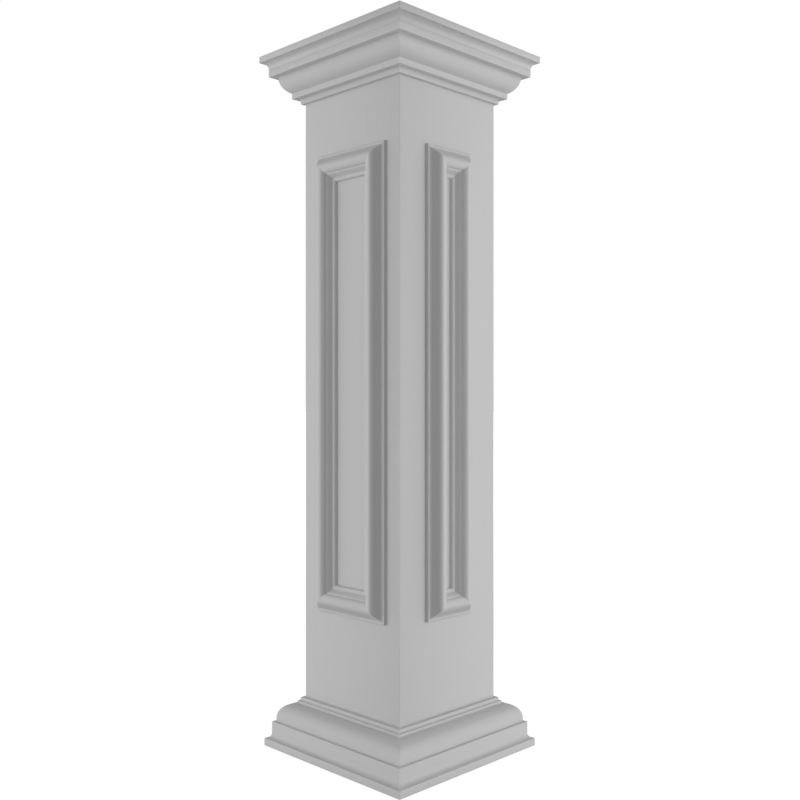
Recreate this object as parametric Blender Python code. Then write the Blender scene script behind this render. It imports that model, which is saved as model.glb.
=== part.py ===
"""Square box newel post with a framed panel on each side, a coved cap and a moulded base.

The shaft is four upright boards mitred into a hollow box. On the flat face of each board
lies a mitred frame of panel moulding: wide frames at the front and back, narrow ones at
the sides. Mitred lengths of crown moulding carry a cap board with a cove under its edge,
and mitred lengths of base moulding wrap the foot.
Metres, +Z up, origin on the ground at the middle of the post, front towards -Y.
"""
import math

import bmesh
import bpy
from mathutils import Matrix, Vector

# Overall sizes
POST_HEIGHT = 1.0561
SHAFT_WIDTH = 0.2039
BOARD_THICKNESS = 0.019
SEAM = 0.0003

# Panel frames: the flat field that each one leaves open, how far each one lies off
# the middle of its side, and the plain shaft below and above it
WIDE_FIELD = 0.0611
NARROW_FIELD = 0.0085
FRAME_OFFSET = 0.0020
FRAME_ABOVE_BASE = 0.1387
FRAME_BELOW_CROWN = 0.0877

# Panel moulding: runs are measured inwards from its outer edge and heights off the
# shaft; a turn is how steep the section is, in degrees, where its cove starts, on its
# straight slope and at the inner end of its crest
OUTER_LIP = 0.0028
OUTER_LIP_HEIGHT = 0.0042
OUTER_LIP_ROUND = 0.0013
COVE_RADIUS = 0.0060
COVE_TURN = 10
SLOPE_LENGTH = 0.0087
SLOPE_TURN = 52
CREST_OUTER_RADIUS = 0.0100
CREST_INNER_RADIUS = 0.0125
CREST_INNER_TURN = 50
QUIRK_DEPTH = 0.0012
QUIRK_WIDTH = 0.0015
QUIRK_FALL = 0.0006
OGEE_RUN = 0.0070
OGEE_EASE = 0.4
INNER_LIP = 0.0050
INNER_LIP_HEIGHT = 0.0044
INNER_LIP_ROUND = 0.0038

# Cap board and its cove
CAP_FASCIA = 0.0096
CAP_COVE = 0.0104

# Crown moulding, from the cap downwards
CROWN_BAND = 0.0114
CROWN_SOFFIT = 0.0102
CROWN_OVOLO_RADIUS = 0.0290
CROWN_OVOLO_RUN = 0.01505
CROWN_FILLET = 0.0082
CROWN_FILLET_STEP = 0.0095
CROWN_NECKING = 0.0079
CROWN_NECKING_STEP = 0.0053

# Base moulding, from the ground upwards
BASE_FOOT = 0.0113
BASE_COVE = 0.0082
BASE_BAND = 0.0174
BASE_LEDGE = 0.0049
BASE_RISE = 0.0060
BASE_OVOLO = 0.0220
BASE_QUIRK = 0.0009
BASE_UPPER_FILLET = 0.0042
BASE_UPPER_FILLET_STEP = 0.0035
BASE_NECKING = 0.0051
BASE_NECKING_STEP = 0.0053

# Finish
PAINT = (0.62, 0.62, 0.62, 1.0)
PAINT_ROUGHNESS = 0.45

# Modelling
ARC_STEPS = 10
ROUND_STEPS = 4
SMOOTH_ANGLE = math.radians(30)
CUT_MARGIN = 0.01
SAME_PLACE = 1e-6
CUT_SNAP = 1e-7
FLAT_ANGLE = math.radians(0.05)
SIDES = ("front", "right", "back", "left")

# Sizes that follow from those above
SHAFT_HALF = SHAFT_WIDTH / 2
CAP_THICKNESS = CAP_FASCIA + CAP_COVE
CROWN_TOP = POST_HEIGHT - CAP_THICKNESS


def clear_scene():
    for old in list(bpy.data.objects):
        bpy.data.objects.remove(old, do_unlink=True)


def new_collection(name):
    group = bpy.data.collections.new(name)
    bpy.context.scene.collection.children.link(group)
    return group


def paint(name):
    """One painted finish, a light neutral grey in satin."""
    finish = bpy.data.materials.new(name)
    finish.use_nodes = True
    shader = finish.node_tree.nodes["Principled BSDF"]
    shader.inputs["Base Color"].default_value = PAINT
    shader.inputs["Roughness"].default_value = PAINT_ROUGHNESS
    shader.inputs["Metallic"].default_value = 0.0
    finish.diffuse_color = PAINT
    return finish


def arc(centre, radius, start, end, steps=ARC_STEPS):
    """Points on an arc from the start angle to the end angle, in degrees."""
    points = []
    for step in range(steps + 1):
        angle = math.radians(start + (end - start) * step / steps)
        points.append((centre[0] + radius * math.cos(angle), centre[1] + radius * math.sin(angle)))
    return points


def eased_rise(start, end, ease, steps=ARC_STEPS):
    """A slope from one point to another, steeper halfway: a share of it is an ogee."""
    points = []
    for step in range(steps + 1):
        share = step / steps
        ogee = (1 - math.cos(math.pi * share)) / 2
        rise = (1 - ease) * share + ease * ogee
        points.append((start[0] + (end[0] - start[0]) * share, start[1] + (end[1] - start[1]) * rise))
    return points


def without_doubles(points):
    """The outline with points that coincide taken once."""
    kept = []
    for point in points:
        if not kept or math.dist(point, kept[-1]) > SAME_PLACE:
            kept.append(point)
    return kept


def crown_section():
    """Crown moulding: distance from the post's axis, height above the ground."""
    back = SHAFT_HALF + SEAM
    top = CROWN_TOP - SEAM
    necking = SHAFT_HALF + CROWN_NECKING_STEP
    fillet = necking + CROWN_FILLET_STEP
    ovolo = fillet + CROWN_OVOLO_RUN
    band = ovolo + CROWN_SOFFIT
    band_bottom = CROWN_TOP - CROWN_BAND
    centre = (ovolo - CROWN_OVOLO_RADIUS, band_bottom)
    sweep = math.degrees(math.acos(1 - CROWN_OVOLO_RUN / CROWN_OVOLO_RADIUS))
    ovolo_points = arc(centre, CROWN_OVOLO_RADIUS, 0, -sweep)
    fillet_bottom = ovolo_points[-1][1] - CROWN_FILLET
    necking_bottom = fillet_bottom - CROWN_NECKING
    return ([(back, top), (back, necking_bottom), (necking, necking_bottom),
             (necking, fillet_bottom), (fillet, fillet_bottom)]
            + ovolo_points[::-1] + [(band, band_bottom), (band, top)])


def crown_bottom():
    return min(height for _, height in crown_section())


def cap_half():
    """Half the cap's width, out to the fascia."""
    return max(out for out, _ in crown_section()) + CAP_COVE


def base_section():
    """Base moulding: distance from the post's axis, height above the ground."""
    back = SHAFT_HALF + SEAM
    necking = SHAFT_HALF + BASE_NECKING_STEP
    upper_fillet = necking + BASE_UPPER_FILLET_STEP
    ovolo_centre = upper_fillet + BASE_QUIRK
    ovolo = ovolo_centre + BASE_OVOLO
    band = ovolo + BASE_LEDGE
    foot = band + BASE_COVE
    cove_top = BASE_FOOT + BASE_COVE
    band_top = cove_top + BASE_BAND
    ovolo_bottom = band_top + BASE_RISE
    ovolo_top = ovolo_bottom + BASE_OVOLO
    fillet_top = ovolo_top + BASE_UPPER_FILLET
    necking_top = fillet_top + BASE_NECKING
    return ([(back, 0), (foot, 0)]
            + arc((foot, cove_top), BASE_COVE, 270, 180)
            + [(band, band_top), (ovolo, band_top)]
            + arc((ovolo_centre, ovolo_bottom), BASE_OVOLO, 0, 90)
            + [(upper_fillet, ovolo_top), (upper_fillet, fillet_top), (necking, fillet_top),
               (necking, necking_top), (back, necking_top)])


def base_top():
    return max(height for _, height in base_section())


def panel_section():
    """Panel moulding: distance in from its outer edge, height off the shaft's face."""
    outer_round = arc((OUTER_LIP_ROUND, OUTER_LIP_HEIGHT - OUTER_LIP_ROUND), OUTER_LIP_ROUND,
                      180, 90, ROUND_STEPS)
    start = math.radians(COVE_TURN)
    slope = math.radians(SLOPE_TURN)
    cove = arc((OUTER_LIP - COVE_RADIUS * math.sin(start), OUTER_LIP_HEIGHT + COVE_RADIUS * math.cos(start)),
               COVE_RADIUS, COVE_TURN - 90, SLOPE_TURN - 90)
    slope_top = (cove[-1][0] + SLOPE_LENGTH * math.cos(slope), cove[-1][1] + SLOPE_LENGTH * math.sin(slope))
    crest_middle = slope_top[0] + CREST_OUTER_RADIUS * math.sin(slope)
    crest_height = slope_top[1] + CREST_OUTER_RADIUS * (1 - math.cos(slope))
    crest_outer = arc((crest_middle, crest_height - CREST_OUTER_RADIUS), CREST_OUTER_RADIUS,
                      90 + SLOPE_TURN, 90)
    crest_inner = arc((crest_middle, crest_height - CREST_INNER_RADIUS), CREST_INNER_RADIUS,
                      90, 90 - CREST_INNER_TURN)
    crest_end = crest_inner[-1]
    quirk = (crest_end[0], crest_end[1] - QUIRK_DEPTH)
    quirk_end = (quirk[0] + QUIRK_WIDTH, quirk[1] - QUIRK_FALL)
    inner_lip = (quirk_end[0] + OGEE_RUN, INNER_LIP_HEIGHT)
    inner_edge = inner_lip[0] + INNER_LIP
    inner_round = arc((inner_edge - INNER_LIP_ROUND, INNER_LIP_HEIGHT - INNER_LIP_ROUND),
                      INNER_LIP_ROUND, 90, 0, ROUND_STEPS)
    return ([(0, SEAM)] + outer_round + cove + crest_outer + crest_inner + [quirk]
            + eased_rise(quirk_end, inner_lip, OGEE_EASE) + inner_round + [(inner_edge, SEAM)])


def stock(outline, half_length):
    """A straight length with the given section, as a mesh: section in XY, length along Z."""
    curve = bpy.data.curves.new("section", "CURVE")
    curve.dimensions = "2D"
    curve.fill_mode = "BOTH"
    curve.extrude = half_length
    points = without_doubles(outline)
    spline = curve.splines.new("POLY")
    spline.points.add(len(points) - 1)
    for point, place in zip(spline.points, points):
        point.co = (place[0], place[1], 0, 1)
    spline.use_cyclic_u = True
    guide = bpy.data.objects.new("section", curve)
    bpy.context.scene.collection.objects.link(guide)
    evaluated = guide.evaluated_get(bpy.context.evaluated_depsgraph_get())
    mesh = bpy.data.meshes.new_from_object(evaluated)
    bpy.data.objects.remove(guide, do_unlink=True)
    shape = bmesh.new()
    shape.from_mesh(mesh)
    bmesh.ops.remove_doubles(shape, verts=shape.verts, dist=SAME_PLACE)
    bmesh.ops.dissolve_limit(shape, angle_limit=FLAT_ANGLE, verts=shape.verts, edges=shape.edges)
    bpy.data.meshes.remove(mesh)
    return shape


def saw(shape, point, normal):
    """Cut the shape on a plane, take away the side that the normal points to, close the cut."""
    everything = shape.verts[:] + shape.edges[:] + shape.faces[:]
    cut = bmesh.ops.bisect_plane(shape, geom=everything, dist=CUT_SNAP, plane_co=point,
                                 plane_no=normal, clear_outer=True)
    edges = [item for item in cut["geom_cut"] if isinstance(item, bmesh.types.BMEdge)]
    bmesh.ops.contextual_create(shape, geom=edges)


def mitred_length(outline, half_at_zero, spread):
    """Stock cut at 45 degrees at both ends.

    Half the length is half_at_zero where the section's X is zero, and grows with X
    where spread is 1, as round an outside corner, or shrinks with it where it is -1.
    """
    reach = half_at_zero + max(abs(place[0]) for place in outline) + CUT_MARGIN
    shape = stock(outline, reach)
    half_seam = SEAM / 2
    for end in (1, -1):
        normal = Vector((-spread, 0, end)).normalized()
        point = Vector((0, 0, end * half_at_zero)) - normal * half_seam
        saw(shape, point, normal)
    bmesh.ops.recalc_face_normals(shape, faces=shape.faces)
    return shape


def finished(name, shape, finish, group, parent, place):
    """Turn a bmesh into a named object of the part."""
    mesh = bpy.data.meshes.new(name)
    shape.to_mesh(mesh)
    shape.free()
    mesh.materials.append(finish)
    mesh.shade_smooth()
    mesh.set_sharp_from_angle(angle=SMOOTH_ANGLE)
    piece = bpy.data.objects.new(name, mesh)
    group.objects.link(piece)
    piece.parent = parent
    piece.matrix_local = place
    return piece


def side_frames(group):
    """An empty for each side of the post: its -Y looks out of that side."""
    frames = {}
    for turn, side in enumerate(SIDES):
        frame = bpy.data.objects.new(side + "_side", None)
        group.objects.link(frame)
        frame.rotation_euler = (0, 0, turn * math.pi / 2)
        frames[side] = frame
    return frames


def cut_with(piece, cutter):
    cutter.hide_render = True
    cutter.display_type = "WIRE"
    cut = piece.modifiers.new(cutter.name, "BOOLEAN")
    cut.operation = "DIFFERENCE"
    cut.object = cutter


def move_to(piece, group):
    for owner in list(piece.users_collection):
        owner.objects.unlink(piece)
    group.objects.link(piece)


def box(name, size, place, group, parent):
    """A cuboid with its size in its mesh, so that modifiers work at full size."""
    bpy.ops.mesh.primitive_cube_add(size=1)
    piece = bpy.context.object
    piece.name = name
    piece.data.name = name
    piece.data.transform(Matrix.Diagonal((*size, 1)))
    move_to(piece, group)
    piece.parent = parent
    piece.matrix_local = Matrix.Translation(place)
    return piece


def frame_height():
    return CROWN_BOTTOM - FRAME_BELOW_CROWN - BASE_TOP - FRAME_ABOVE_BASE


def frame_middle():
    return BASE_TOP + FRAME_ABOVE_BASE + frame_height() / 2


def make_board(side, finish, group, frame):
    """One upright board of the shaft, mitred along both edges."""
    height = CROWN_TOP - SEAM
    shape = bmesh.new()
    bmesh.ops.create_cube(shape, size=1)
    bmesh.ops.transform(shape, matrix=Matrix.Diagonal((SHAFT_WIDTH, BOARD_THICKNESS, height, 1)),
                        verts=shape.verts)
    middle = Vector((0, -SHAFT_HALF + BOARD_THICKNESS / 2, height / 2))
    bmesh.ops.translate(shape, vec=middle, verts=shape.verts)
    for end in (1, -1):
        normal = Vector((end, 1, 0)).normalized()
        saw(shape, -normal * SEAM / 2, normal)
    bmesh.ops.recalc_face_normals(shape, faces=shape.faces)
    finished("shaft_board_" + side, shape, finish, group, frame, Matrix())


def make_panel_frame(side, field_width, offset, finish, group, frame):
    """Four mitred lengths of panel moulding round the field of one side.

    The section lies in XY with its length along Z, and upright stands it on the side's
    face as the left stile. The other three are the same stile turned in that face.
    """
    half_across = field_width / 2 + MOULDING_WIDTH
    half_up = frame_height() / 2
    middle = Matrix.Translation((offset, -SHAFT_HALF, frame_middle()))
    upright = Matrix(((1, 0, 0, 0), (0, -1, 0, 0), (0, 0, -1, 0), (0, 0, 0, 1)))
    members = (("left_stile", 0, half_across, half_up),
               ("top_rail", 90, half_up, half_across),
               ("right_stile", 180, half_across, half_up),
               ("bottom_rail", 270, half_up, half_across))
    for member, turn, reach, half_length in members:
        shape = mitred_length(panel_section(), half_length, -1)
        lean = Matrix.Rotation(math.radians(turn), 4, "Y")
        place = middle @ lean @ Matrix.Translation((-reach, 0, 0)) @ upright
        finished("panel_" + side + "_" + member, shape, finish, group, frame, place)


def make_wrapped_length(name, outline, finish, group, frame):
    """A mitred length of moulding that wraps one side of the shaft.

    Its section's X is the distance from the post's axis and its Y the height, and facing
    turns those to -Y and +Z.
    """
    shape = mitred_length(outline, 0, 1)
    facing = Matrix(((0, 0, -1, 0), (-1, 0, 0, 0), (0, 1, 0, 0), (0, 0, 0, 1)))
    finished(name, shape, finish, group, frame, facing)


def make_cap_board(finish, group, cutters, frames):
    """The square cap board, with a cove run along the lower edge of all four sides."""
    half = cap_half()
    cap = box("cap_board", (2 * half, 2 * half, CAP_THICKNESS),
              (0, 0, POST_HEIGHT - CAP_THICKNESS / 2), group, None)
    cap.data.materials.append(finish)
    for side in SIDES:
        bpy.ops.mesh.primitive_cylinder_add(vertices=4 * ARC_STEPS, radius=CAP_COVE,
                                            depth=2 * (half + CUT_MARGIN))
        cutter = bpy.context.object
        cutter.name = "cove_cutter_" + side
        move_to(cutter, cutters)
        cutter.parent = frames[side]
        cutter.matrix_local = (Matrix.Translation((0, -half, CROWN_TOP))
                               @ Matrix.Rotation(math.pi / 2, 4, "Y"))
        cut_with(cap, cutter)


CROWN_BOTTOM = crown_bottom()
BASE_TOP = base_top()
MOULDING_WIDTH = max(inwards for inwards, _ in panel_section())


def build():
    clear_scene()
    group = new_collection("newel_post")
    cutters = new_collection("cutters")
    frames = side_frames(group)
    shaft_paint = paint("shaft_paint")
    moulding_paint = paint("moulding_paint")
    cap_paint = paint("cap_paint")
    for side in SIDES:
        frame = frames[side]
        wide = side in ("front", "back")
        field_width = WIDE_FIELD if wide else NARROW_FIELD
        offset = FRAME_OFFSET if wide else -FRAME_OFFSET
        make_board(side, shaft_paint, group, frame)
        make_panel_frame(side, field_width, offset, moulding_paint, group, frame)
        make_wrapped_length("crown_" + side, crown_section(), moulding_paint, group, frame)
        make_wrapped_length("base_mould_" + side, base_section(), moulding_paint, group, frame)
    make_cap_board(cap_paint, group, cutters, frames)


build()
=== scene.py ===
# %% [markdown]
# A square box newel post, dressed for its picture
#
# A newel is the stout post where a handrail starts or ends. This one is not a single
# heavy timber but a hollow box: four boards mitred together, with mouldings planted on
# them, slipped over a plain structural post. We start from the measured solids and give
# them what a painter and a joiner leave behind: eased arrises, closed mitres and paint.
# Everything is in metres, +Z up, with the front of the post towards -Y.

# %% Load the measured solids
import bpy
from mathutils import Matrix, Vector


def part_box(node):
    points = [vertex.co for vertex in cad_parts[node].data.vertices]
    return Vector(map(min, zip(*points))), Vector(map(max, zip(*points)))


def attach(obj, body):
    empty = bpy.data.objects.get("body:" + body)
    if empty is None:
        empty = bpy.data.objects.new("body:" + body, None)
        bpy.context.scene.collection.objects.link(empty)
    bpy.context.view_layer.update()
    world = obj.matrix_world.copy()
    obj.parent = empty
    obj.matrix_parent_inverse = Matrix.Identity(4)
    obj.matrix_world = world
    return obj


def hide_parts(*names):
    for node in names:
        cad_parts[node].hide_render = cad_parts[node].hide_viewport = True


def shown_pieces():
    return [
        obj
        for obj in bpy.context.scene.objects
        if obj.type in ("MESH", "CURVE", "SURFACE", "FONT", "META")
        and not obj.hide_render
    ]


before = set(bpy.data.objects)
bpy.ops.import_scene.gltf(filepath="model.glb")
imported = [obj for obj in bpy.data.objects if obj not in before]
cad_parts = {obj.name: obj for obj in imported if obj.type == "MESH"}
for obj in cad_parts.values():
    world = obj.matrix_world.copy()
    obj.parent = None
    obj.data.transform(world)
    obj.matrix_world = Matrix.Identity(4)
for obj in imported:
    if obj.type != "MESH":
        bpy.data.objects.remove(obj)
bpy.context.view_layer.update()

# %% Modules
import math
import bmesh
import bpy
from mathutils import Matrix, Vector

# %% [markdown]
# What each side of the post is called
#
# The solids are named for the side they are on. A quarter turn about the post's axis
# takes the front to the right side, then the back, then the left, so one moulding that
# is made for the front serves all four.

# %% The four sides
SIDES = ("front", "right", "back", "left")
WIDE_SIDES = ("front", "back")
MEMBERS = ("left_stile", "top_rail", "right_stile", "bottom_rail")


def side_turn(side):
    """The turn about the post's axis that takes the front to this side."""
    return Matrix.Rotation(SIDES.index(side) * math.pi / 2, 4, "Z")


print(len(SIDES), "sides,", len(MEMBERS), "lengths of moulding round each panel")

# %% [markdown]
# Sizes that the solids already have
#
# The finished pieces have to land exactly where the solids are, so their main sizes are
# read from the solids' own boxes. The only new number is the line that glue leaves in a
# mitre, which is far finer than the gap that keeps two measured solids apart.

# %% Sizes read from the solids
GLUE_LINE = 0.00003
board_low, board_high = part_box("shaft_board_front")
SHAFT_HALF = -board_low[1]
BOARD_THICKNESS = board_high[1] - board_low[1]
SHAFT_TOP = board_high[2]
cap_low, cap_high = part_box("cap_board")
CAP_HALF = cap_high[0]
CAP_UNDERSIDE = cap_low[2]
POST_TOP = cap_high[2]
print("shaft", round(2 * SHAFT_HALF, 4), "wide, boards", round(BOARD_THICKNESS, 4), "thick")
print("cap", round(2 * CAP_HALF, 4), "wide and", round(POST_TOP - CAP_UNDERSIDE, 4), "thick")

# %% [markdown]
# Drawing a section with a pen
#
# Every moulding is a section carried along a line. A section is straight stretches,
# round stretches and soft slopes, and we draw it as a router cutter is drawn: a pen that
# is one vertex, which moves on by extruding itself for a line and by spinning about a
# centre for an arc. The section is drawn in the XZ plane, across in X and up in Z.

# %% The pen
ARC_STEPS = 14
ROUND_STEPS = 6
SAME_PLACE = 1e-6


def pen_at(shape, across, up):
    return shape.verts.new((across, 0, up))


def line_to(shape, pen, across, up):
    moved = bmesh.ops.extrude_vert_indiv(shape, verts=[pen])["verts"][0]
    moved.co = (across, 0, up)
    return moved


def arc_about(shape, pen, across, up, degrees, steps=ARC_STEPS):
    """Swing the pen about a centre, anticlockwise on the drawing for positive degrees."""
    swung = bmesh.ops.spin(shape, geom=[pen], cent=(across, 0, up), axis=(0, -1, 0),
                           angle=math.radians(degrees), steps=steps, use_merge=False)
    return swung["geom_last"][0]


def slope_to(shape, pen, across, up, ease):
    """A slope that sets off and lands flatter than it runs: at an ease of 1 it is an ogee."""
    start = pen.co.copy()
    for step in range(1, ARC_STEPS + 1):
        share = step / ARC_STEPS
        rise = (1 - ease) * share + ease * (1 - math.cos(math.pi * share)) / 2
        pen = line_to(shape, pen, start.x + (across - start.x) * share,
                      start.z + (up - start.z) * rise)
    return pen


def close_section(shape):
    """Join the pen's last place to its first, and merge any two places that coincide."""
    ends = [vert for vert in shape.verts if len(vert.link_edges) == 1]
    bmesh.ops.contextual_create(shape, geom=ends)
    bmesh.ops.remove_doubles(shape, verts=shape.verts, dist=SAME_PLACE)


print("a round stretch takes", ARC_STEPS, "steps, a rounded lip", ROUND_STEPS)

# %% [markdown]
# Arrises, and closing the ends
#
# No painted edge is knife sharp. Sanding takes the arris off, and paint rounds it and
# fills the inner corners. We bevel every edge along the moulding where the section
# turns sharply, outer and inner alike, before the ends are closed, so that the mitres
# stay tight.

# %% Soft arrises and finished pieces
ARRIS = 0.0004
ARRIS_STEPS = 3
SHARP = math.radians(28)
SHADED_SHARP = math.radians(35)
ROUND_PROFILE = 0.5


def soften(shape):
    arrises = [edge for edge in shape.edges if edge.calc_face_angle(0) > SHARP]
    bmesh.ops.bevel(shape, geom=arrises, offset=ARRIS, offset_type="OFFSET", affect="EDGES",
                    segments=ARRIS_STEPS, profile=ROUND_PROFILE, material=-1, clamp_overlap=True)


def close_ends(shape):
    open_edges = [edge for edge in shape.edges if edge.is_boundary]
    bmesh.ops.holes_fill(shape, edges=open_edges, sides=0)
    bmesh.ops.recalc_face_normals(shape, faces=shape.faces)


def finish_piece(name, shape, node):
    """Make the shape an object that stands for its solid and rides with the post."""
    mesh = bpy.data.meshes.new(name)
    shape.to_mesh(mesh)
    shape.free()
    mesh.shade_smooth()
    mesh.set_sharp_from_angle(angle=SHADED_SHARP)
    piece = bpy.data.objects.new(name, mesh)
    bpy.context.scene.collection.objects.link(piece)
    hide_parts(node)
    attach(piece, "root")
    return piece


print("arrises are eased by", ARRIS * 1000, "mm")

# %% [markdown]
# The four boards of the shaft
#
# Each side of the shaft is one board, mitred along both edges so that no end grain or
# butt joint shows. The quick way to four boards that share one rounded corner is the
# joiner's own: think of the shaft as one square block with its corners eased, then saw
# away everything behind one face: two cuts at 45 degrees and one along the inside.

# %% A saw, and the boards
CORNER_EASE = 0.0003
CORNER_STEPS = 6
CUT_SNAP = 1e-7


def saw(shape, place, outwards):
    """Cut on a plane and throw away what lies on the side that outwards points to."""
    everything = shape.verts[:] + shape.edges[:] + shape.faces[:]
    bmesh.ops.bisect_plane(shape, geom=everything, dist=CUT_SNAP, plane_co=place,
                           plane_no=outwards, clear_outer=True)
    close_ends(shape)


def shaft_board(side):
    shape = bmesh.new()
    bmesh.ops.create_cube(shape, size=1)
    bmesh.ops.scale(shape, vec=(2 * SHAFT_HALF, 2 * SHAFT_HALF, SHAFT_TOP), verts=shape.verts)
    bmesh.ops.translate(shape, vec=(0, 0, SHAFT_TOP / 2), verts=shape.verts)
    corners = [edge for edge in shape.edges if edge.verts[0].co.z != edge.verts[1].co.z]
    bmesh.ops.bevel(shape, geom=corners, offset=CORNER_EASE, offset_type="OFFSET",
                    affect="EDGES", segments=CORNER_STEPS, profile=ROUND_PROFILE, material=-1)
    saw(shape, Vector((0, BOARD_THICKNESS - SHAFT_HALF, 0)), Vector((0, 1, 0)))
    for hand in (1, -1):
        outwards = Vector((hand, 1, 0)).normalized()
        saw(shape, -outwards * GLUE_LINE / 2, outwards)
    shape.transform(side_turn(side))
    return shape


boards = []
for side in SIDES:
    node = "shaft_board_" + side
    boards.append(finish_piece("board_" + side, shaft_board(side), node))
print(len(boards), "boards of", len(boards[0].data.polygons), "faces each")

# %% [markdown]
# Mouldings that wrap the post
#
# The crown and the base run round the shaft as four lengths each, mitred on the
# diagonals. A lathe that turns only a quarter and only in one step does exactly that:
# the section stands on one diagonal, and the spin carries it to the next. A corner lies
# farther from the axis than the middle of a side by the square root of two, so the
# section is stretched by that much first.

# %% A quarter turn in one step
FRONT_LEFT = math.radians(225)


def onto_diagonal(shape, turn):
    """Stretch a section from a side's middle to a corner, and turn it to that corner."""
    stretch = Matrix.Scale(math.sqrt(2), 4, (1, 0, 0))
    shape.transform(Matrix.Rotation(turn, 4, "Z") @ stretch)


def wrap_side(shape, side):
    """Carry a section that is drawn outwards from the axis along one side of the post."""
    onto_diagonal(shape, FRONT_LEFT)
    section = shape.verts[:] + shape.edges[:]
    bmesh.ops.spin(shape, geom=section, cent=(0, 0, 0), axis=(0, 0, 1),
                   angle=math.radians(90), steps=1, use_merge=False)
    soften(shape)
    close_ends(shape)
    shape.transform(side_turn(side))
    return shape


def wrapped_lengths(name, section_of, solid_name):
    """The four lengths of one moulding, from the front on round the post."""
    lengths = []
    for side in SIDES:
        shape = wrap_side(section_of(), side)
        lengths.append(finish_piece(name + side, shape, solid_name + side))
    return lengths


print("each length spans a quarter of the way round")

# %% [markdown]
# The crown under the cap
#
# From the shaft up it has a thin necking, a fillet that steps out, a shallow ovolo that
# leans out to a deep soffit, and a square band right under the cap. Real ones are often
# built up from two or three boards, but paint joins them, and one section is simpler.

# %% Crown section
CROWN_BAND = 0.0114
CROWN_SOFFIT = 0.0102
CROWN_OVOLO_RADIUS = 0.0290
CROWN_OVOLO_RUN = 0.01505
CROWN_FILLET = 0.0082
CROWN_FILLET_STEP = 0.0095
CROWN_NECKING = 0.0079
CROWN_NECKING_STEP = 0.0053
CROWN_OVOLO_TURN = math.degrees(math.acos(1 - CROWN_OVOLO_RUN / CROWN_OVOLO_RADIUS))
CROWN_OVOLO_RISE = CROWN_OVOLO_RADIUS * math.sin(math.radians(CROWN_OVOLO_TURN))


def crown_section():
    shape = bmesh.new()
    necking = SHAFT_HALF + CROWN_NECKING_STEP
    fillet = necking + CROWN_FILLET_STEP
    ovolo = fillet + CROWN_OVOLO_RUN
    band = ovolo + CROWN_SOFFIT
    band_bottom = CAP_UNDERSIDE - CROWN_BAND
    fillet_top = band_bottom - CROWN_OVOLO_RISE
    fillet_bottom = fillet_top - CROWN_FILLET
    pen = pen_at(shape, SHAFT_HALF, CAP_UNDERSIDE)
    pen = line_to(shape, pen, band, CAP_UNDERSIDE)
    pen = line_to(shape, pen, band, band_bottom)
    pen = line_to(shape, pen, ovolo, band_bottom)
    pen = arc_about(shape, pen, ovolo - CROWN_OVOLO_RADIUS, band_bottom, -CROWN_OVOLO_TURN)
    pen = line_to(shape, pen, fillet, fillet_bottom)
    pen = line_to(shape, pen, necking, fillet_bottom)
    pen = line_to(shape, pen, necking, fillet_bottom - CROWN_NECKING)
    line_to(shape, pen, SHAFT_HALF, fillet_bottom - CROWN_NECKING)
    close_section(shape)
    return shape


crowns = wrapped_lengths("crown_length_", crown_section, "crown_")
print("crown length of", len(crowns[0].data.polygons), "faces")

# %% [markdown]
# The base
#
# The foot spreads the load and hides the joint with the floor: a square foot, a cove
# back to a flat band, a ledge, then a fat quarter round up to a fillet and a necking
# against the shaft.

# %% Base section
BASE_FOOT = 0.0113
BASE_COVE = 0.0082
BASE_BAND = 0.0174
BASE_LEDGE = 0.0049
BASE_RISE = 0.0060
BASE_OVOLO = 0.0220
BASE_QUIRK = 0.0009
BASE_UPPER_FILLET = 0.0042
BASE_UPPER_FILLET_STEP = 0.0035
BASE_NECKING = 0.0051
BASE_NECKING_STEP = 0.0053


def base_section():
    shape = bmesh.new()
    necking = SHAFT_HALF + BASE_NECKING_STEP
    upper_fillet = necking + BASE_UPPER_FILLET_STEP
    ovolo_centre = upper_fillet + BASE_QUIRK
    ovolo = ovolo_centre + BASE_OVOLO
    band = ovolo + BASE_LEDGE
    foot = band + BASE_COVE
    cove_top = BASE_FOOT + BASE_COVE
    band_top = cove_top + BASE_BAND
    ovolo_bottom = band_top + BASE_RISE
    ovolo_top = ovolo_bottom + BASE_OVOLO
    fillet_top = ovolo_top + BASE_UPPER_FILLET
    pen = pen_at(shape, SHAFT_HALF, 0)
    pen = line_to(shape, pen, foot, 0)
    pen = line_to(shape, pen, foot, BASE_FOOT)
    pen = arc_about(shape, pen, foot, cove_top, -90)
    pen = line_to(shape, pen, band, band_top)
    pen = line_to(shape, pen, ovolo, band_top)
    pen = line_to(shape, pen, ovolo, ovolo_bottom)
    pen = arc_about(shape, pen, ovolo_centre, ovolo_bottom, 90)
    pen = line_to(shape, pen, upper_fillet, ovolo_top)
    pen = line_to(shape, pen, upper_fillet, fillet_top)
    pen = line_to(shape, pen, necking, fillet_top)
    pen = line_to(shape, pen, necking, fillet_top + BASE_NECKING)
    line_to(shape, pen, SHAFT_HALF, fillet_top + BASE_NECKING)
    close_section(shape)
    return shape


bases = wrapped_lengths("base_length_", base_section, "base_mould_")
print("base length of", len(bases[0].data.polygons), "faces")

# %% [markdown]
# The panel moulding
#
# Each side carries a frame of raised panel moulding, glued flat on the board with plain
# shaft showing inside it. The section starts at its outer edge with a small rounded lip
# and climbs through a cove and a steep slope to a round crest. Inside the crest it drops
# by a tiny quirk, then falls in a flattened ogee to an inner lip with a rounded edge, so
# that the inner half takes the light as low terraces.

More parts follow.
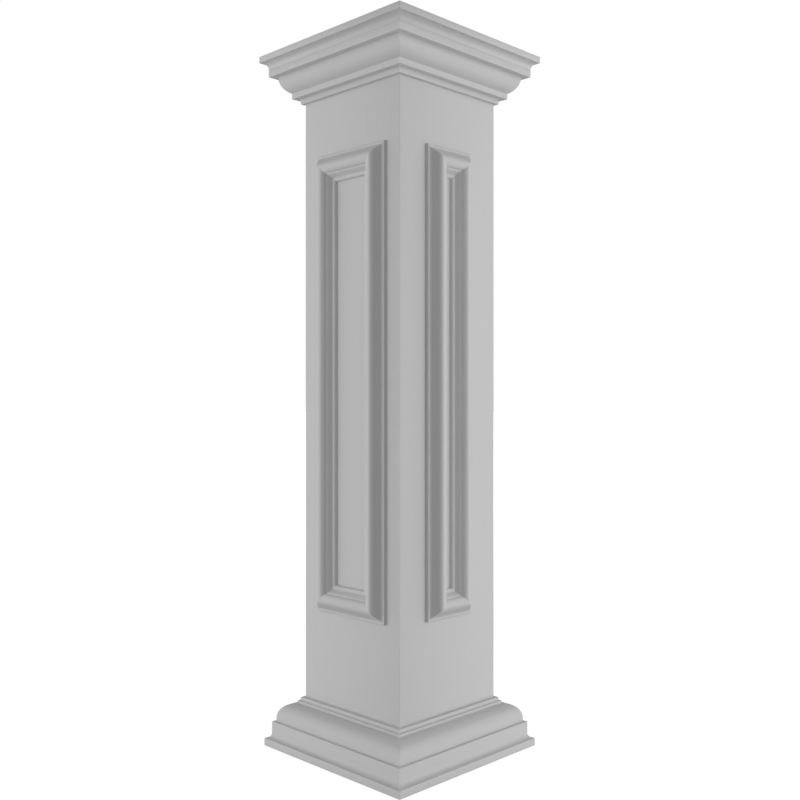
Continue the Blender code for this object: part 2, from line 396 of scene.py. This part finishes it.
# %% Panel moulding section
OUTER_LIP = 0.0028
OUTER_LIP_HEIGHT = 0.0042
OUTER_LIP_ROUND = 0.0013
COVE_RADIUS = 0.0060
COVE_TURN = 10
SLOPE_LENGTH = 0.0087
SLOPE_TURN = 52
CREST_OUTER_RADIUS = 0.0100
CREST_INNER_RADIUS = 0.0125
CREST_INNER_TURN = 50
QUIRK_DEPTH = 0.0012
QUIRK_WIDTH = 0.0015
QUIRK_FALL = 0.0006
OGEE_RUN = 0.0070
OGEE_EASE = 0.4
INNER_LIP = 0.0050
INNER_LIP_HEIGHT = 0.0044
INNER_LIP_ROUND = 0.0038


def panel_section(outer_edge):
    """Across from the outer edge towards the panel, and up off the face of the board."""
    shape = bmesh.new()
    start = math.radians(COVE_TURN)
    slope = math.radians(SLOPE_TURN)
    pen = pen_at(shape, outer_edge, 0)
    pen = line_to(shape, pen, outer_edge, OUTER_LIP_HEIGHT - OUTER_LIP_ROUND)
    pen = arc_about(shape, pen, outer_edge + OUTER_LIP_ROUND, OUTER_LIP_HEIGHT - OUTER_LIP_ROUND,
                    -90, ROUND_STEPS)
    pen = line_to(shape, pen, outer_edge + OUTER_LIP, OUTER_LIP_HEIGHT)
    pen = arc_about(shape, pen, pen.co.x - COVE_RADIUS * math.sin(start),
                    pen.co.z + COVE_RADIUS * math.cos(start), SLOPE_TURN - COVE_TURN)
    pen = line_to(shape, pen, pen.co.x + SLOPE_LENGTH * math.cos(slope),
                  pen.co.z + SLOPE_LENGTH * math.sin(slope))
    pen = arc_about(shape, pen, pen.co.x + CREST_OUTER_RADIUS * math.sin(slope),
                    pen.co.z - CREST_OUTER_RADIUS * math.cos(slope), -SLOPE_TURN)
    pen = arc_about(shape, pen, pen.co.x, pen.co.z - CREST_INNER_RADIUS, -CREST_INNER_TURN)
    across = pen.co.x
    height = pen.co.z - QUIRK_DEPTH
    pen = line_to(shape, pen, across, height)
    pen = line_to(shape, pen, across + QUIRK_WIDTH, height - QUIRK_FALL)
    across = across + QUIRK_WIDTH + OGEE_RUN
    pen = slope_to(shape, pen, across, INNER_LIP_HEIGHT, OGEE_EASE)
    across = across + INNER_LIP
    pen = line_to(shape, pen, across - INNER_LIP_ROUND, INNER_LIP_HEIGHT)
    pen = arc_about(shape, pen, across - INNER_LIP_ROUND, INNER_LIP_HEIGHT - INNER_LIP_ROUND,
                    -90, ROUND_STEPS)
    line_to(shape, pen, across, 0)
    close_section(shape)
    return shape


trial = panel_section(0)
print("panel moulding", round(1000 * max(vert.co.x for vert in trial.verts), 2), "mm wide")
trial.free()

# %% [markdown]
# Cutting four lengths to a frame
#
# In the workshop you would clamp the moulding in a mitre saw and cut each length at 45
# degrees from its outer corners inwards. The same works here: extrude the section into
# stock that is too long, ease its arrises, saw both ends. Each length is made as the
# left stile about the frame's own middle, then turned to its place.

# %% Frames on the four sides
STOCK_SPARE = 0.05


def mitred_stile(reach, half_length):
    """A left stile about the frame's middle: its outer edge lies at -reach."""
    shape = panel_section(-reach)
    pulled = bmesh.ops.extrude_edge_only(shape, edges=shape.edges[:])["geom"]
    moved = [item for item in pulled if isinstance(item, bmesh.types.BMVert)]
    whole = 2 * (half_length + STOCK_SPARE)
    bmesh.ops.translate(shape, vec=(0, whole, 0), verts=moved)
    bmesh.ops.translate(shape, vec=(0, -whole / 2, 0), verts=shape.verts)
    soften(shape)
    close_ends(shape)
    bmesh.ops.rotate(shape, cent=(0, 0, 0), matrix=Matrix.Rotation(math.pi / 2, 3, "X"),
                     verts=shape.verts)
    for end in (1, -1):
        outwards = Vector((1, 0, end)).normalized()
        saw(shape, Vector((-reach, 0, end * half_length)), outwards)
    return shape


def frame_corners(side):
    """Lower left and upper right corner of a side's frame, seen as if it were the front."""
    undo = side_turn(side).inverted()
    corners = []
    for member in MEMBERS:
        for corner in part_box("panel_" + side + "_" + member):
            corners.append(undo @ Vector(corner))
    across = [corner.x for corner in corners]
    up = [corner.z for corner in corners]
    return min(across), min(up), max(across), max(up)


def panel_frame(side):
    left, bottom, right, top = frame_corners(side)
    half_across = (right - left) / 2
    half_up = (top - bottom) / 2
    middle = Matrix.Translation(((left + right) / 2, -SHAFT_HALF, (bottom + top) / 2))
    for number, member in enumerate(MEMBERS):
        upright = member.endswith("stile")
        reach = half_across if upright else half_up
        half_length = half_up if upright else half_across
        shape = mitred_stile(reach, half_length)
        lean = Matrix.Rotation(number * math.pi / 2, 4, "Y")
        shape.transform(side_turn(side) @ middle @ lean)
        name = side + "_" + member
        finish_piece(name, shape, "panel_" + name)
    return half_across, half_up


for side in SIDES:
    half_across, half_up = panel_frame(side)
    print(side, "frame", round(2 * half_across, 4), "by", round(2 * half_up, 4))

# %% [markdown]
# The cap
#
# The cap is one square board that closes the box: flat on top, a plain fascia, and a
# cove under the edge so that it looks thinner than it is. A lathe that turns a full
# circle in only four steps makes a square, so the whole cap is one spin of its section.
# The spin leaves spokes across the flat top, and a limited dissolve takes them out.

# %% Cap board
CAP_COVE = 0.0104
BACK_RIGHT = math.radians(45)
FLAT = math.radians(0.1)


def cap_board():
    shape = bmesh.new()
    pen = pen_at(shape, 0, POST_TOP)
    pen = line_to(shape, pen, CAP_HALF, POST_TOP)
    pen = line_to(shape, pen, CAP_HALF, CAP_UNDERSIDE + CAP_COVE)
    pen = arc_about(shape, pen, CAP_HALF, CAP_UNDERSIDE, 90)
    line_to(shape, pen, 0, CAP_UNDERSIDE)
    bmesh.ops.remove_doubles(shape, verts=shape.verts, dist=SAME_PLACE)
    onto_diagonal(shape, BACK_RIGHT)
    section = shape.verts[:] + shape.edges[:]
    bmesh.ops.spin(shape, geom=section, cent=(0, 0, 0), axis=(0, 0, 1),
                   angle=math.radians(360), steps=4, use_merge=True)
    bmesh.ops.remove_doubles(shape, verts=shape.verts, dist=SAME_PLACE)
    bmesh.ops.recalc_face_normals(shape, faces=shape.faces)
    soften(shape)
    bmesh.ops.dissolve_limit(shape, angle_limit=FLAT, verts=shape.verts, edges=shape.edges)
    return shape


cap = finish_piece("cap", cap_board(), "cap_board")
print("cap of", len(cap.data.polygons), "faces")

# %% [markdown]
# How paint looks close up
#
# Primed joinery is never one flat colour. The coat lies a little thicker here and there,
# the brush leaves faint streaks along each length, and a roller leaves a fine stipple.
# Every painted piece shares this, so it is one node group: coordinates go in, and the
# colour, the roughness and a height for the bump come out. The shader stays outside.

# %% The paint film as a node group
CLOUDS = {"scale": 7, "detail": 3}
STREAKS = {"scale": 340, "detail": 4}
STIPPLE = {"scale": 620, "detail": 2}
STIPPLE_SHARE = 0.4


def group_socket(group, name, kind, way):
    group.interface.new_socket(name=name, in_out=way, socket_type=kind)


def math_node(group, operation, first, second):
    """A Math node whose inputs are either sockets to link or plain numbers."""
    node = group.nodes.new("ShaderNodeMath")
    node.operation = operation
    for number, value in enumerate((first, second)):
        if isinstance(value, bpy.types.NodeSocket):
            group.links.new(value, node.inputs[number])
        else:
            node.inputs[number].default_value = value
    return node.outputs[0]


def noise_node(group, coordinates, scale, detail):
    node = group.nodes.new("ShaderNodeTexNoise")
    group.links.new(coordinates, node.inputs["Vector"])
    node.inputs["Scale"].default_value = scale
    node.inputs["Detail"].default_value = detail
    return node.outputs["Fac"]


def paint_film_group():
    group = bpy.data.node_groups.new("paint_film", "ShaderNodeTree")
    group_socket(group, "Coordinates", "NodeSocketVector", "INPUT")
    group_socket(group, "Along the brush", "NodeSocketVector", "INPUT")
    group_socket(group, "Paint", "NodeSocketColor", "INPUT")
    group_socket(group, "Unevenness", "NodeSocketFloat", "INPUT")
    group_socket(group, "Gloss break", "NodeSocketFloat", "INPUT")
    group_socket(group, "Base roughness", "NodeSocketFloat", "INPUT")
    group_socket(group, "Color", "NodeSocketColor", "OUTPUT")
    group_socket(group, "Roughness", "NodeSocketFloat", "OUTPUT")
    group_socket(group, "Height", "NodeSocketFloat", "OUTPUT")
    given = group.nodes.new("NodeGroupInput").outputs
    result = group.nodes.new("NodeGroupOutput").inputs
    clouds = noise_node(group, given["Coordinates"], **CLOUDS)
    streaks = noise_node(group, given["Along the brush"], **STREAKS)
    stipple = noise_node(group, given["Coordinates"], **STIPPLE)
    swing = math_node(group, "SUBTRACT", math_node(group, "ADD", clouds, streaks), 1.0)
    shade = math_node(group, "ADD", math_node(group, "MULTIPLY", swing, given["Unevenness"]), 1.0)
    tint = group.nodes.new("ShaderNodeVectorMath")
    tint.operation = "SCALE"
    group.links.new(given["Paint"], tint.inputs[0])
    group.links.new(shade, tint.inputs["Scale"])
    group.links.new(tint.outputs[0], result["Color"])
    dullness = math_node(group, "MULTIPLY", swing, given["Gloss break"])
    group.links.new(math_node(group, "ADD", given["Base roughness"], dullness), result["Roughness"])
    fine = math_node(group, "MULTIPLY", stipple, STIPPLE_SHARE)
    group.links.new(math_node(group, "ADD", streaks, fine), result["Height"])
    return group


paint_film = paint_film_group()
print("paint film group puts out", [item.name for item in paint_film.interface.items_tree
                                    if item.in_out == "OUTPUT"])

# %% [markdown]
# A breath of dust
#
# Anything flat that faces up gathers a little pale dust, even on a clean post. How far a
# face looks up is the Z of its normal, raised to a power so that only nearly level
# faces count, and a noise makes the dust patchy. It is kept faint here, because the post
# is clean, and it is a group of its own so that other painted work can use it.

# %% Dust as a node group
DRIFTS = {"scale": 45, "detail": 4}
LEVEL_ONLY = 4.0
DUST = (0.70, 0.68, 0.64, 1)


def dust_group():
    group = bpy.data.node_groups.new("settled_dust", "ShaderNodeTree")
    group_socket(group, "Coordinates", "NodeSocketVector", "INPUT")
    group_socket(group, "Clean", "NodeSocketColor", "INPUT")
    group_socket(group, "Amount", "NodeSocketFloat", "INPUT")
    group_socket(group, "Color", "NodeSocketColor", "OUTPUT")
    given = group.nodes.new("NodeGroupInput").outputs
    result = group.nodes.new("NodeGroupOutput").inputs
    surface = group.nodes.new("ShaderNodeNewGeometry")
    parts = group.nodes.new("ShaderNodeSeparateXYZ")
    group.links.new(surface.outputs["Normal"], parts.inputs[0])
    facing_up = math_node(group, "MAXIMUM", parts.outputs["Z"], 0.0)
    drift = noise_node(group, given["Coordinates"], **DRIFTS)
    level = math_node(group, "POWER", facing_up, LEVEL_ONLY)
    cover = math_node(group, "MULTIPLY", level, drift)
    mix = group.nodes.new("ShaderNodeMix")
    mix.data_type = "RGBA"
    group.links.new(math_node(group, "MULTIPLY", cover, given["Amount"]), mix.inputs["Factor"])
    group.links.new(given["Clean"], mix.inputs["A"])
    mix.inputs["B"].default_value = DUST
    group.links.new(mix.outputs["Result"], result["Color"])
    return group


settled_dust = dust_group()
print("dust takes", [item.name for item in settled_dust.interface.items_tree
                     if item.in_out == "INPUT"])

# %% [markdown]
# One paint, brushed three ways
#
# The whole post is one light neutral grey in satin, as factory primer is. A painter
# brushes each length along itself, so stiles and boards are streaked upwards, and rails,
# crown, base and cap along their own direction. Stretching the noise along one axis in a
# Mapping node gives the streaks.

# %% Painted finishes
PAINT = (0.62, 0.62, 0.62, 1)
SATIN = 0.45
UNEVENNESS = 0.045
GLOSS_BREAK = 0.12
DUST_AMOUNT = 0.18
BRUSH_MARKS = 0.5
BRUSH_DEPTH = 0.00015
STRETCH = 0.03
BRUSHED = {"upright": (1, 1, STRETCH), "along_x": (STRETCH, 1, 1), "along_y": (1, STRETCH, 1)}


def painted(direction):
    finish = bpy.data.materials.new("painted_" + direction)
    finish.use_nodes = True
    tree = finish.node_tree
    shader = tree.nodes["Principled BSDF"]
    place = tree.nodes.new("ShaderNodeTexCoord")
    brush = tree.nodes.new("ShaderNodeMapping")
    brush.inputs["Scale"].default_value = BRUSHED[direction]
    tree.links.new(place.outputs["Object"], brush.inputs["Vector"])
    film = tree.nodes.new("ShaderNodeGroup")
    film.node_tree = paint_film
    film.inputs["Paint"].default_value = PAINT
    film.inputs["Unevenness"].default_value = UNEVENNESS
    film.inputs["Gloss break"].default_value = GLOSS_BREAK
    film.inputs["Base roughness"].default_value = SATIN
    tree.links.new(place.outputs["Object"], film.inputs["Coordinates"])
    tree.links.new(brush.outputs["Vector"], film.inputs["Along the brush"])
    dust = tree.nodes.new("ShaderNodeGroup")
    dust.node_tree = settled_dust
    dust.inputs["Amount"].default_value = DUST_AMOUNT
    tree.links.new(place.outputs["Object"], dust.inputs["Coordinates"])
    tree.links.new(film.outputs["Color"], dust.inputs["Clean"])
    tree.links.new(dust.outputs["Color"], shader.inputs["Base Color"])
    tree.links.new(film.outputs["Roughness"], shader.inputs["Roughness"])
    bump = tree.nodes.new("ShaderNodeBump")
    bump.inputs["Strength"].default_value = BRUSH_MARKS
    bump.inputs["Distance"].default_value = BRUSH_DEPTH
    tree.links.new(film.outputs["Height"], bump.inputs["Height"])
    tree.links.new(bump.outputs["Normal"], shader.inputs["Normal"])
    return finish


finishes = {direction: painted(direction) for direction in BRUSHED}


def brush_direction(name):
    """Stiles and boards are brushed upwards, all the rest along the side they are on."""
    if "stile" in name or "board" in name:
        return "upright"
    on_wide_side = any(side in name for side in WIDE_SIDES)
    return "along_x" if on_wide_side or name == "cap" else "along_y"


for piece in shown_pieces():
    piece.data.materials.clear()
    piece.data.materials.append(finishes[brush_direction(piece.name)])

# %% [markdown]
# A pale floor
#
# The post stands on a pale floor under a pale sky, with no line where they meet. The
# floor is matt, and the camera also sees a glow on it that lifts it towards white, more
# so far away, where the lights don't reach. Near the foot the post's own shade stays.
# The glow shows to the camera alone, so it doesn't light the mouldings from below, and
# the floor doesn't cut off the low part of the lights either.

# %% Floor
FLOOR_REACH = 30
NEAR_GLOW = 0.64
FAR_GLOW = 1.0
NEAR = 1.0
FAR = 3.5
FLOOR_PAINT = (0.85, 0.85, 0.85, 1)
MATT = 0.9
WHITE = (1, 1, 1, 1)


def pale_floor():
    shape = bmesh.new()
    bmesh.ops.create_grid(shape, x_segments=1, y_segments=1, size=FLOOR_REACH)
    mesh = bpy.data.meshes.new("floor")
    shape.to_mesh(mesh)
    shape.free()
    floor = bpy.data.objects.new("floor", mesh)
    bpy.context.scene.collection.objects.link(floor)
    pale = bpy.data.materials.new("pale_floor")
    pale.use_nodes = True
    tree = pale.node_tree
    shader = tree.nodes["Principled BSDF"]
    shader.inputs["Base Color"].default_value = FLOOR_PAINT
    shader.inputs["Roughness"].default_value = MATT
    shader.inputs["Specular IOR Level"].default_value = 0.0
    shader.inputs["Emission Color"].default_value = WHITE
    place = tree.nodes.new("ShaderNodeTexCoord")
    distance = tree.nodes.new("ShaderNodeVectorMath")
    distance.operation = "LENGTH"
    tree.links.new(place.outputs["Object"], distance.inputs[0])
    fade = tree.nodes.new("ShaderNodeMapRange")
    fade.inputs["From Min"].default_value = NEAR
    fade.inputs["From Max"].default_value = FAR
    fade.inputs["To Min"].default_value = NEAR_GLOW
    fade.inputs["To Max"].default_value = FAR_GLOW
    tree.links.new(distance.outputs["Value"], fade.inputs["Value"])
    path = tree.nodes.new("ShaderNodeLightPath")
    glow = tree.nodes.new("ShaderNodeMath")
    glow.operation = "MULTIPLY"
    tree.links.new(path.outputs["Is Camera Ray"], glow.inputs[0])
    tree.links.new(fade.outputs["Result"], glow.inputs[1])
    tree.links.new(glow.outputs[0], shader.inputs["Emission Strength"])
    mesh.materials.append(pale)
    floor.visible_shadow = False
    floor.visible_diffuse = False
    floor.visible_glossy = False


pale_floor()
print("floor of", 2 * FLOOR_REACH, "m across, glowing", NEAR_GLOW, "near and", FAR_GLOW, "far")

# %% [markdown]
# Soft studio light
#
# Two broad lights stand left and right, square to the camera's view. The mouldings'
# slopes that look at the camera therefore stay darker than the two faces of the shaft,
# as in a catalogue picture. Part of the light casts no shadow: it stands for the light
# that many reflectors would throw into the corners. The shadowless pair stands a little
# farther off, because two lights in one place would hide each other from Cycles.

# %% Sky and lights
SKY = 0.327
MIDDLE_HEIGHT = 0.53
SIDE_DISTANCE = 3.0
FILL_DISTANCE = 3.4
LIGHT_SIZE = (3.0, 3.9)
CAMERA_AZIMUTH = -45
LEFT = CAMERA_AZIMUTH - 90
RIGHT = CAMERA_AZIMUTH + 90
LEFT_POWER = 36.6
RIGHT_POWER = 53.5
LEFT_FILL_POWER = 24.4
RIGHT_FILL_POWER = 17.7


def pale_sky():
    """The camera sees white, and everything else is lit by a weaker sky."""
    world = bpy.data.worlds.new("studio")
    world.use_nodes = True
    tree = world.node_tree
    ambient = tree.nodes["Background"]
    ambient.inputs["Color"].default_value = WHITE
    ambient.inputs["Strength"].default_value = SKY
    seen = tree.nodes.new("ShaderNodeBackground")
    seen.inputs["Strength"].default_value = 1.0
    seen.inputs["Color"].default_value = WHITE
    path = tree.nodes.new("ShaderNodeLightPath")
    choice = tree.nodes.new("ShaderNodeMixShader")
    tree.links.new(path.outputs["Is Camera Ray"], choice.inputs["Fac"])
    tree.links.new(ambient.outputs[0], choice.inputs[1])
    tree.links.new(seen.outputs[0], choice.inputs[2])
    tree.links.new(choice.outputs[0], tree.nodes["World Output"].inputs["Surface"])
    bpy.context.scene.world = world


def soft_light(name, place, power, shadow=True):
    """A broad light at a place, turned to the middle of the post."""
    data = bpy.data.lights.new(name, "AREA")
    data.energy = power
    data.shape = "RECTANGLE"
    data.size, data.size_y = LIGHT_SIZE
    data.use_shadow = shadow
    lamp = bpy.data.objects.new(name, data)
    bpy.context.scene.collection.objects.link(lamp)
    lamp.location = place
    aim = Vector((0, 0, MIDDLE_HEIGHT)) - lamp.location
    lamp.rotation_euler = aim.to_track_quat("-Z", "Y").to_euler()
    return lamp


def round_the_post(azimuth, distance, height=MIDDLE_HEIGHT):
    """A place that many degrees round the post from +X, at that distance from its axis."""
    turn = math.radians(azimuth)
    return distance * math.cos(turn), distance * math.sin(turn), height


pale_sky()
lamps = [soft_light("left_light", round_the_post(LEFT, SIDE_DISTANCE), LEFT_POWER),
         soft_light("right_light", round_the_post(RIGHT, SIDE_DISTANCE), RIGHT_POWER),
         soft_light("left_fill", round_the_post(LEFT, FILL_DISTANCE), LEFT_FILL_POWER, shadow=False),
         soft_light("right_fill", round_the_post(RIGHT, FILL_DISTANCE), RIGHT_FILL_POWER, shadow=False)]
bpy.context.scene.view_settings.view_transform = "Standard"
print(len(lamps), "lights of", sum(lamp.data.energy for lamp in lamps), "W in all")

# %% [markdown]
# The camera
#
# The post is seen corner on, from about one and a half metres, with the camera level at
# half its height. The uprights stay upright because the camera isn't tilted, and the
# strong taper of the cap and base comes from standing so close.

# %% Camera
FRAME_WIDTH = 800
FOCAL_PIXELS = 986.9
SENSOR = 36
CAMERA_DISTANCE = 1.5144
CAMERA_HEIGHT = 0.5303
VANISHING_PIXEL = (399.67, 399.7)

camera_data = bpy.data.cameras.new("camera")
camera_data.sensor_width = SENSOR
camera_data.lens = FOCAL_PIXELS / FRAME_WIDTH * SENSOR
camera_data.shift_x = (FRAME_WIDTH / 2 - VANISHING_PIXEL[0]) / FRAME_WIDTH
camera_data.shift_y = (VANISHING_PIXEL[1] - FRAME_WIDTH / 2) / FRAME_WIDTH
camera = bpy.data.objects.new("camera", camera_data)
bpy.context.scene.collection.objects.link(camera)
camera.location = round_the_post(CAMERA_AZIMUTH, CAMERA_DISTANCE, CAMERA_HEIGHT)
camera.rotation_euler = (math.radians(90), 0, math.radians(CAMERA_AZIMUTH + 90))
bpy.context.scene.camera = camera
print("camera lens", round(camera_data.lens, 2), "mm")
